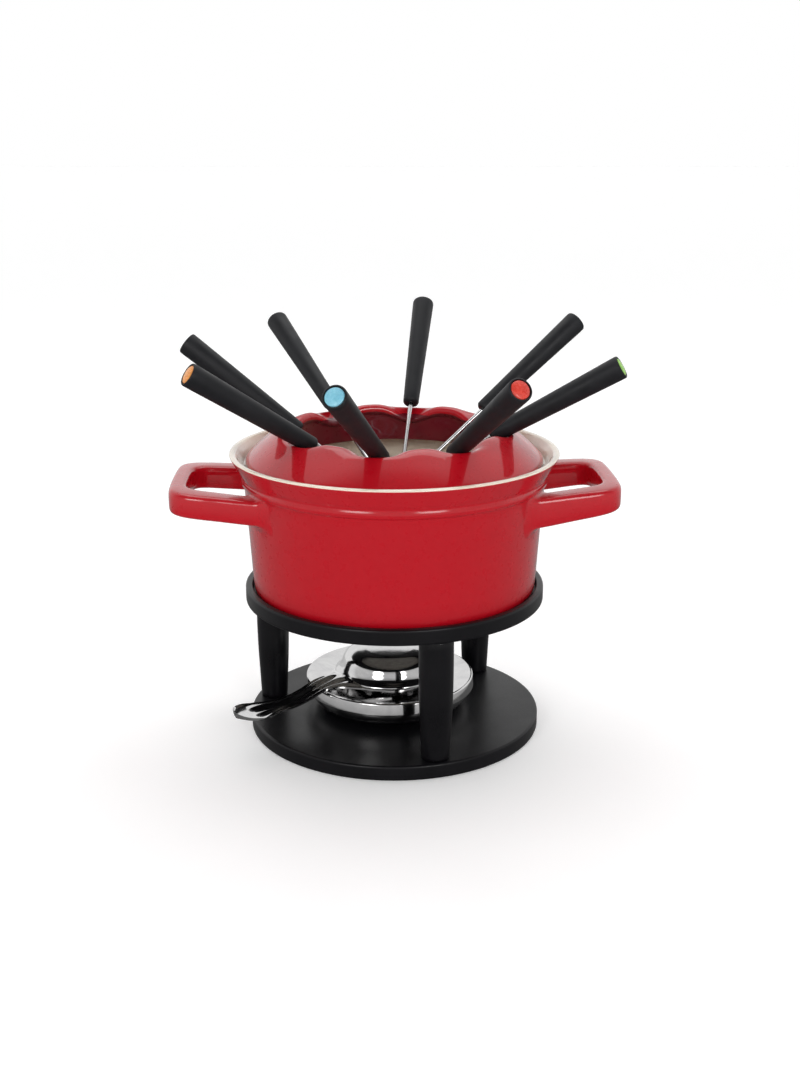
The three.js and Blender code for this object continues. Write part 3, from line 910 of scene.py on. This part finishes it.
def fork_twist(colour, place):
    """The prongs' turn about the fork's axis, how far below the grip their tips are, and their reach."""
    inverse = place.inverted()
    local = [inverse @ vertex.co / MM for vertex in NODES[f"fork_{colour}_tines"].data.vertices]
    lowest = min(point.z for point in local)
    tips = [point for point in local if point.z < lowest + 0.5]
    far = max(tips, key=lambda point: math.hypot(point.x, point.y))
    return math.atan2(far.y, far.x), -lowest, math.hypot(far.x, far.y)


def build_grip(colour, place, length):
    """A grip that widens towards its cap, with a bore for the stem and a recess for the cap."""
    low = 4.75
    high = 6.5
    outline = [(low - 0.2, 1.2), (low, 2.0)]
    outline += [(mix(low, high, step / 10), mix(2.0, length - 4.0, step / 10)) for step in range(1, 11)]
    profile = [
        (0, 30.0), (1.5, 30.0), (1.55, 29.6), (1.55, 0.5), (1.75, 0.15), (2.2, 0.0),
        (low - 1.7, 0.0), (low - 1.35, 0.12), *outline,
        (high, length - 1.1), (high - 0.12, length - 0.45), (high - 0.42, length - 0.1),
        (high - 0.75, length), (high - 1.0, length - 0.12), (high - 1.1, length - 0.4),
        (high - 1.1, length - 3.0), (0, length - 3.0),
    ]
    grip = turned(f"fork_{colour}_grip_fine", profile, 64, crease=35, place=place)
    place_piece(grip, f"fork_{colour}", "black_plastic", PLASTIC, f"fork_{colour}_grip")


def build_cap(colour, place, length, material):
    radius = 5.1
    bottom = length - 2.7
    profile = [(0, bottom), (radius - 0.2, bottom), (radius, bottom + 0.3), (radius, length - 0.6),
               (radius - 0.1, length - 0.32), (radius - 0.4, length - 0.12), (radius * 0.8, length + 0.16),
               (radius * 0.5, length + 0.36), (radius * 0.2, length + 0.47), (0, length + 0.49)]
    cap = turned(f"fork_{colour}_disc", profile, 64, crease=40, place=place)
    place_piece(cap, f"fork_{colour}", f"cap_{colour}", material, f"fork_{colour}_cap")


PRONG_RADIUS = 0.95
PRONG_TIP = 0.16  # radius of a prong's point
PRONG_TAPER = 0.72  # a prong narrows over the rest of its length after this share
PRONG_INSET = 0.9  # a prong's centre line lies this far inside its outermost point


def build_tines(colour, place):
    """A round stem that splits into two pointed prongs."""
    twist, below, spread = fork_twist(colour, place)
    half = spread - PRONG_INSET
    top = -below
    neck = top + 24
    stem = [
        (29.4, 1.0), (29.2, 1.25), (0, 1.25), (neck + 14, 1.25), (neck + 4, 1.3), (neck + 1, 1.45),
        (neck - 2.2, 1.2),
    ]
    rod = finish_mesh("rod", tube_mesh([(Vector((0, 0, height)), radius) for height, radius in stem], 24), 40)
    bends = [
        (0, neck + 3.5), (0.12, neck + 0.8), (0.75, neck - 3.2), (1, neck - 7.5), (1, neck - 14),
        (1, top + 4.2), (1, top + 1.2), (1, top + 0.05),
    ]
    for sign in (-1, 1):
        route = flowing([(sign * half * share, 0, height) for share, height in bends], 5)
        count = len(route) - 1
        path = []
        for index, point in enumerate(route):
            share = index / count
            radius = PRONG_RADIUS
            if share >= PRONG_TAPER:
                radius = mix(PRONG_RADIUS, PRONG_TIP, (share - PRONG_TAPER) / (1 - PRONG_TAPER))
            path.append((Vector(point), radius))
        prong = finish_mesh("prong", tube_mesh(path, 16), 40)
        combine(rod, prong, "UNION")
    resharpen(rod, 40)
    rod.name = f"fork_{colour}_steel"
    rod.matrix_world = place @ Matrix.Rotation(twist, 4, "Z")
    place_piece(rod, f"fork_{colour}", "fork_steel", FORK_STEEL, f"fork_{colour}_tines")


def build_forks():
    for colour, (deep, bright) in CAPS.items():
        place, length = fork_frame(colour)
        build_grip(colour, place, length)
        build_cap(colour, place, length, cap_plastic(f"cap_{colour}", deep, bright))
        build_tines(colour, place)


# ---- burner
def burner_place():
    middle = centre_of("burner_bowl")
    return Matrix.Translation((middle.x, middle.y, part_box("burner_bowl")[0].z))


def build_burner():
    place = burner_place()
    bowl_outside = flowing([
        (38.6, 0.1), (41.6, 1.2), (44.4, 3.1), (46.4, 5.6), (47.3, 8.0), (47.5, 10.4)], 5)
    bowl_inside = flowing([
        (46.5, 10.4), (46.2, 7.9), (45.2, 5.6), (43.6, 3.7), (41.2, 2.1), (38.2, 1.1)], 5)
    bowl = turned("burner_bowl_spun", [
        (0, 0.8), (32, 0.8), (33.2, 0.7), (34.2, 0.15), (35.2, 0.0), (37.2, 0.0), *bowl_outside,
        (47.5, 15.2), (47.3, 15.55), (46.9, 15.6), (46.6, 15.4), *bowl_inside,
        (35.6, 1.0), (34.6, 1.15), (33.6, 1.7), (32.4, 1.8), (0, 1.8),
    ], SIDES_BURNER, crease=45, place=place)
    place_piece(bowl, "burner", "polished_steel", STEEL, "burner_bowl")

    cover_under = flowing([
        (36, 15.0), (42, 15.6), (46.6, 16.1), (48.4, 16.0), (49.2, 15.3), (49.3, 14.4)], 4)
    cover_over = flowing([
        (49.6, 17.25), (49.1, 17.5), (48.4, 17.45), (46.6, 17.0), (42, 16.4), (36, 15.9), (29.5, 15.6)], 4)
    cover = turned("burner_cover_spun", [
        (20.25, 14.5), (29, 14.6), *cover_under,
        (49.3, 11.0), (49.4, 10.6), (49.8, 10.4), (50.15, 10.5), (50.3, 10.75), (50.28, 11.0),
        (49.88, 16.5), (49.82, 16.85), *cover_over,
        (22, 15.42), (20.7, 15.4), (20.3, 15.2),
    ], SIDES_BURNER, closed=True, crease=45, place=place)
    place_piece(cover, "burner", "polished_steel", STEEL, "burner_cover")

    cup = turned("fuel_cup_drawn", [
        (0, 2.1), (18.2, 2.1), (19.2, 2.4), (19.7, 3.2), (19.7, 15.2), (19.85, 15.6), (20.3, 15.7),
        (22.1, 15.7), (22.4, 15.9), (22.4, 16.2), (22.1, 16.4), (20.2, 16.4), (19.3, 16.2),
        (18.9, 15.6), (18.9, 3.6), (18.6, 3.1), (17.8, 3.0), (0, 3.0),
    ], 160, crease=45, place=place)
    place_piece(cup, "burner", "polished_steel", STEEL, "fuel_cup")

    fill = turned("wadding_fill", [
        (0, 3.3), (17.6, 3.3), (18.3, 3.8), (18.4, 5.0), (18.4, 11.6), (18.1, 12.3), (17.2, 12.6),
        (12, 12.5), (6, 12.6), (0, 12.55),
    ], 128, crease=50, place=place)
    place_piece(fill, "burner", "wadding", WADDING, "fuel_wadding")
    build_gauze(place)
    build_sleeve(place)
    build_lid(place)


def build_gauze(place):
    """Woven wire gauze held in a flat ring."""
    level = 13.2  # height of the gauze over the burner's foot
    reach = 17.4
    pitch = 1.45
    weave = 0.1  # how far a wire passes over and under
    wire_radius = 0.11
    work = turned_mesh([
        (17.2, 12.95), (18.4, 12.95), (18.5, 13.2), (18.4, 13.45), (17.2, 13.45), (17.1, 13.2),
    ], 128, closed=True)
    wires = int(reach // pitch)
    for cross in (0, 1):
        for wire in range(-wires, wires + 1):
            offset = wire * pitch
            half = math.sqrt(reach ** 2 - offset ** 2)
            steps = max(4, int(2 * half / pitch * 4))
            path = []
            for step in range(steps + 1):
                run = mix(-half, half, step / steps)
                height = level + math.cos(math.pi * (run / pitch + wire + cross)) * weave
                point = Vector((run, offset, height)) if cross else Vector((offset, run, height))
                path.append((point, wire_radius))
            tube_mesh(path, 5, work)
    gauze = finish_mesh("gauze_woven", work, 60, place)
    place_piece(gauze, "burner", "zinc_steel", ZINC, "wadding_gauze")


WINDOWS = 6
FIRST_WINDOW = 30  # azimuth of the first window, in degrees
WINDOW_CUTTER = (6.0, 4.0, 2.6)  # width, depth and height
WINDOW_CORNER = 1.1
WINDOW_RISE = 2.8  # height of a window's middle over the collar's lower edge


def build_sleeve(place):
    """The loose collar whose windows let air to the flame."""
    low, high = (height - place.translation.z / MM for height in heights("air_sleeve"))
    reach = reach_of("air_sleeve")
    sleeve = turned("air_collar", rounded([
        (reach - 1, low, 0.2),
        (reach, low, 0.25),
        (reach, high, 0.35),
        (reach - 1, high, 0.25),
    ], closed=True), SIDES_BURNER, closed=True, crease=40, place=place)
    for window in range(WINDOWS):
        slot = box_mesh(WINDOW_CUTTER)
        through = [edge for edge in slot.edges if abs(edge.verts[0].co.y - edge.verts[1].co.y) > 1]
        bmesh.ops.bevel(slot, geom=through, offset=WINDOW_CORNER, segments=6, affect="EDGES")
        bmesh.ops.translate(slot, vec=(0, -reach + 0.5, low + WINDOW_RISE), verts=slot.verts)
        turn = spun(FIRST_WINDOW + 360 / WINDOWS * window)
        combine(sleeve, finish_mesh("window", slot, place=place @ turn), "DIFFERENCE")
    resharpen(sleeve, 40)
    place_piece(sleeve, "sleeve", "polished_steel", STEEL, "air_sleeve")


# ---- snuffer lid
LID_HANDLE_AZIMUTH = -55
# the handle's height over the burner's foot, by the distance from the lid's axis
HANDLE_RAIL = [
    (17, 21.2), (27, 22.2), (34, 22.6), (42, 21.8), (48, 20.7), (53, 19.3), (59, 17.3), (69, 15.1),
    (82, 14.6), (92, 14.7), (99, 15.3), (104.6, 16.2),
]
# half of the handle's width, by the same distance
HANDLE_HALVES = [
    (17, 26.6), (22, 23.2), (27, 19.4), (33, 14.4), (40, 10.2), (48, 8.1), (58, 7.5), (74, 7.6),
    (80, 8.6), (85, 10.4), (89, 11.6), (93, 12.0), (97, 11.3), (100.5, 9.4), (103, 6.6), (104.3, 3.2),
    (104.6, 0.4),
]
SHEET_THICKNESS = 0.9
SHEET_DROP = 0.9  # the sheet's flat parts lie this far under the rail
FLUTE_DEPTH = 0.85
CHANNEL_DEPTH = 2.0
ROOT_BEND = 2.4  # how far the root's edges are bent down
DISH_DEPTH = 1.5
LIP_HEIGHT = 0.9


def along(points, reach):
    for (low, first), (high, second) in zip(points, points[1:]):
        if reach <= high:
            return mix(first, second, (reach - low) / (high - low))
    return points[-1][1]


def handle_sheet():
    """The lid's handle: one thin sheet, fluted along its length, with a dished round thumb tab."""
    rail = flowing(HANDLE_RAIL, 10)
    halves = flowing(HANDLE_HALVES, 8)
    work = bmesh.new()
    rows = 160
    columns = 56
    start = HANDLE_RAIL[0][0]
    end = HANDLE_RAIL[-1][0]
    layers = []
    for layer in (0, 1):
        grid = []
        for row in range(rows + 1):
            reach = mix(start, end, 1 - (1 - row / rows) ** 1.3)
            half = along(halves, reach)
            height = along(rail, reach)
            fluted = smoothstep(reach, 30, 40) * (1 - smoothstep(reach, 84, 94))
            root = 1 - smoothstep(reach, 30, 50)
            tab = smoothstep(reach, 82, 96)
            line = []
            for column in range(columns + 1):
                share = 2 * column / columns - 1
                flute = FLUTE_DEPTH * math.cos(3 * math.pi * share) * fluted
                channel = CHANNEL_DEPTH * (share * share - 0.4) * fluted * (1 - root)
                bend = ROOT_BEND * share * share * root
                dish = DISH_DEPTH * (abs(share) ** 2.4 - 0.35) * tab
                lip = LIP_HEIGHT * smoothstep(abs(share), 0.84, 1.0) * (0.3 + 0.7 * max(fluted, tab))
                up = height - SHEET_DROP + flute + (channel - bend) + dish + lip - layer * SHEET_THICKNESS
                line.append(work.verts.new((reach, share * half, up)))
            grid.append(line)
        layers.append(grid)
    for layer, grid in enumerate(layers):
        for low, high in zip(grid, grid[1:]):
            for column in range(columns):
                face = [low[column], low[column + 1], high[column + 1], high[column]]
                work.faces.new(face if layer == 0 else face[::-1])
    borders = []
    for grid in layers:
        near = [line[0] for line in grid]
        far = [line[-1] for line in reversed(grid)]
        borders.append(near + grid[-1][1:-1] + far + grid[0][-2:0:-1])
    top, under = borders
    for index in range(len(top)):
        after = (index + 1) % len(top)
        work.faces.new([top[index], top[after], under[after], under[index]])
    return work


def build_lid(place):
    under = flowing([
        (19.7, 31.8), (23.5, 30.3), (25.7, 28.5), (26.8, 26.8), (27.7, 24.6), (28.8, 22.3), (30.2, 20.7),
        (31.2, 19.8),
    ], 5)
    over = flowing([
        (32.0, 20.6), (31.1, 21.5), (29.8, 22.9), (28.7, 24.9), (27.9, 27.0), (26.8, 29.0), (24.5, 31.0),
        (20.3, 32.7), (15, 33.45),
    ], 6)
    dome = turned("snuffer_dome", [
        (0, 32.5), (14.6, 32.5), *under,
        (31.5, 19.45), (32.2, 19.4), (32.6, 19.7), (32.5, 20.1), *over,
        (14.2, 33.5), (0, 33.5),
    ], SIDES_BURNER, crease=45, place=place)
    handle = finish_mesh("strip", handle_sheet(), 45, place @ spun(LID_HANDLE_AZIMUTH - 90))
    hollow = turned("hollow", [
        (0, 15), (30.6, 15), (30.2, 20.6), (28.7, 22.6), (27.4, 25.6), (0, 25.6),
    ], SIDES_BURNER, place=place)
    combine(handle, hollow, "DIFFERENCE")
    combine(dome, handle, "UNION")
    resharpen(dome, 45)
    dome.name = "snuffer_lid_sheet"
    place_piece(dome, "lid", "polished_steel", STEEL, "snuffer_lid")


build_stand()
build_pot()
build_ring()
build_forks()
build_burner()


# ---- floor, light and camera
def build_floor():
    look = Look("floor_paper", 0.8, Emission_Color=(1.0, 1.0, 1.0, 1.0), Emission_Strength=0.26)
    look.tone(look.noise(60, 2), (0.87, 0.87, 0.87), (0.89, 0.89, 0.89))
    look.bump(look.noise(2.0, 2), 0.02)
    work = bmesh.new()
    bmesh.ops.create_grid(work, x_segments=8, y_segments=8, size=12000)
    floor = finish_mesh("floor", work)
    floor.data.materials.append(look.material)
    floor.visible_glossy = False


def top_light():
    """One large soft box above and behind the object."""
    width = 0.9
    depth = 0.6
    radiance = 1.6
    distance = 1.1
    middle = Vector((0, 0, 0.09))
    away = Vector((0, 0.36, 0.93)).normalized()
    data = bpy.data.lights.new("soft_box_top", "AREA")
    data.shape = "RECTANGLE"
    data.size = width
    data.size_y = depth
    data.energy = radiance * math.pi * width * depth
    light = bpy.data.objects.new("soft_box_top", data)
    light.location = middle + away * distance
    light.rotation_euler = away.to_track_quat("Z", "Y").to_euler()
    bpy.context.scene.collection.objects.link(light)


GLOW_AZIMUTHS = (-28, 28)
GLOW_RISE = 22  # degrees over the horizon
GLOW_EDGE = 14  # a glow begins this many degrees from its middle
GLOW_CORE = 4  # and is at its full strength this many degrees from it
GLOW_STRENGTH = 7.5


def build_light():
    """A white room: bright behind, dimmer high in front and low down, with two soft glows in front."""
    world = bpy.data.worlds.new("white_room")
    world.use_nodes = True
    nodes = Nodes(world.node_tree)
    background = nodes.tree.nodes["Background"]
    direction = nodes.add("ShaderNodeTexCoord").outputs["Generated"]
    parts = nodes.add("ShaderNodeSeparateXYZ")
    nodes.link(direction, parts.inputs["Vector"])
    across = parts.outputs["Y"]
    up = parts.outputs["Z"]

    # each line blends the room's brightness from its third number to its fourth, or to another line
    high_front = nodes.ranged(up, 0.35, 0.7, 0.62, 0.2)
    upper = nodes.ranged(across, -0.16, 0.12, high_front, 0.95)
    lower = nodes.ranged(up, -0.45, -0.1, 0.16, 0.66)
    room = nodes.ranged(up, -0.03, 0.03, lower, upper)

    for azimuth in GLOW_AZIMUTHS:
        rise = math.radians(GLOW_RISE)
        turn = math.radians(azimuth)
        towards = nodes.add("ShaderNodeVectorMath", operation="DOT_PRODUCT")
        nodes.link(direction, towards.inputs[0])
        towards.inputs[1].default_value = (
            math.sin(turn) * math.cos(rise),
            -math.cos(turn) * math.cos(rise),
            math.sin(rise),
        )
        edge = math.cos(math.radians(GLOW_EDGE))
        core = math.cos(math.radians(GLOW_CORE))
        glow = nodes.ranged(towards.outputs["Value"], edge, core, 0.0, GLOW_STRENGTH)
        room = nodes.math("ADD", room, glow)

    seen = nodes.add("ShaderNodeLightPath").outputs["Is Camera Ray"]
    strength = nodes.ranged(seen, 0.0, 1.0, room, 1.0)
    background.inputs["Color"].default_value = (1.0, 1.0, 1.0, 1.0)
    nodes.link(strength, background.inputs["Strength"])
    bpy.context.scene.world = world
    top_light()


def build_camera():
    """The camera fitted to the photo: level from side to side and looking a little down."""
    data = bpy.data.cameras.new("camera")
    frame_height = 1066  # the photo's height and the fitted focal length, both in its own units
    focal = 1365.4
    sensor = 36.0
    data.sensor_fit = "VERTICAL"
    data.sensor_height = sensor
    data.sensor_width = sensor
    data.lens = sensor * focal / frame_height
    data.clip_start = 0.01
    data.clip_end = 50
    camera = bpy.data.objects.new("camera", data)
    pitch = 16.55  # degrees below the horizon
    camera.location = (3.18 * MM, -756.12 * MM, 340.63 * MM)
    camera.rotation_euler = (math.radians(90 - pitch), 0, 0)
    bpy.context.scene.collection.objects.link(camera)
    bpy.context.scene.camera = camera


build_floor()
build_light()
build_camera()
bpy.context.scene.view_settings.view_transform = "Standard"
